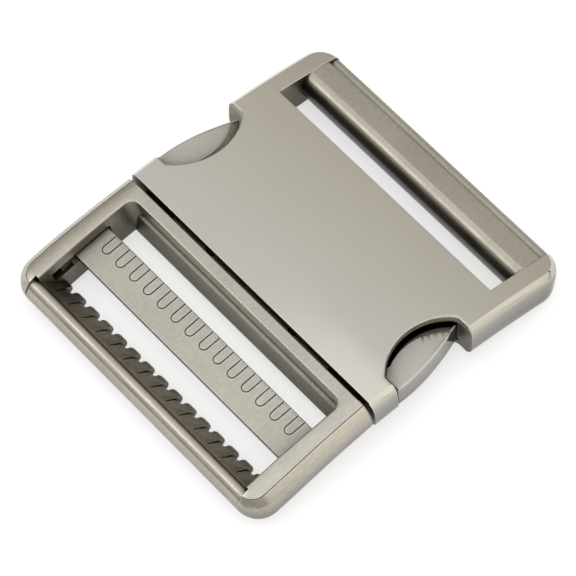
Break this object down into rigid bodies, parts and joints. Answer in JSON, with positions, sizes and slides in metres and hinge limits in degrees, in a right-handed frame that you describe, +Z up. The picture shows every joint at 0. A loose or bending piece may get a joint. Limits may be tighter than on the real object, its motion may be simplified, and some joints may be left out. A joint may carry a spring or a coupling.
{
  "type": "side release buckle with adjuster slider",
  "caption": "Curved metal side-release buckle for wide webbing, with a sewing bar on one half and a toothed sliding adjuster on the other.",
  "frame": {"origin": "centre of the bounding box on the surface the buckle stands on", "axes": "+X across the webbing, +Y along the webbing from the adjuster half to the sewn half, +Z up out of the polished face"},
  "size_m": [0.0604, 0.0652, 0.01],
  "materials": {
    "polished_nickel": "polished nickel plate with a faint warm tone",
    "satin_nickel": "tumbled satin nickel plate on a casting",
    "spring_steel": "bright drawn wire and stamped plate"
  },
  "bodies": {
    "female": {"female_body": "polished_nickel"},
    "male": {"male_frame": "satin_nickel", "tongue_cover": "spring_steel", "cover_rivet_1": "spring_steel", "cover_rivet_2": "spring_steel", "cover_rivet_3": "spring_steel", "cover_rivet_4": "spring_steel", "right_spring": "spring_steel", "left_spring": "spring_steel"},
    "slider": {"slider_bar": "satin_nickel"},
    "right_button": {"right_button": "satin_nickel"},
    "left_button": {"left_button": "satin_nickel"}
  },
  "joints": [
    {"name": "latch_play", "type": "slide", "parent": "female", "child": "male", "axis": [0, 0.9997, -0.0236], "range_m": [-0.0002, 0.0004]},
    {"name": "slider_travel", "type": "slide", "parent": "male", "child": "slider", "axis": [0, 0.9921, 0.1256], "range_m": [-0.0045, 0]},
    {"name": "right_press", "type": "slide", "parent": "male", "child": "right_button", "axis": [-1, 0, 0], "range_m": [0, 0.0035], "stiffness_N_per_m": 500, "springref_m": -0.004, "deforming": ["right_spring"]},
    {"name": "left_press", "type": "slide", "parent": "male", "child": "left_button", "axis": [1, 0, 0], "range_m": [0, 0.0035], "stiffness_N_per_m": 500, "springref_m": -0.004, "deforming": ["left_spring"]}
  ]
}
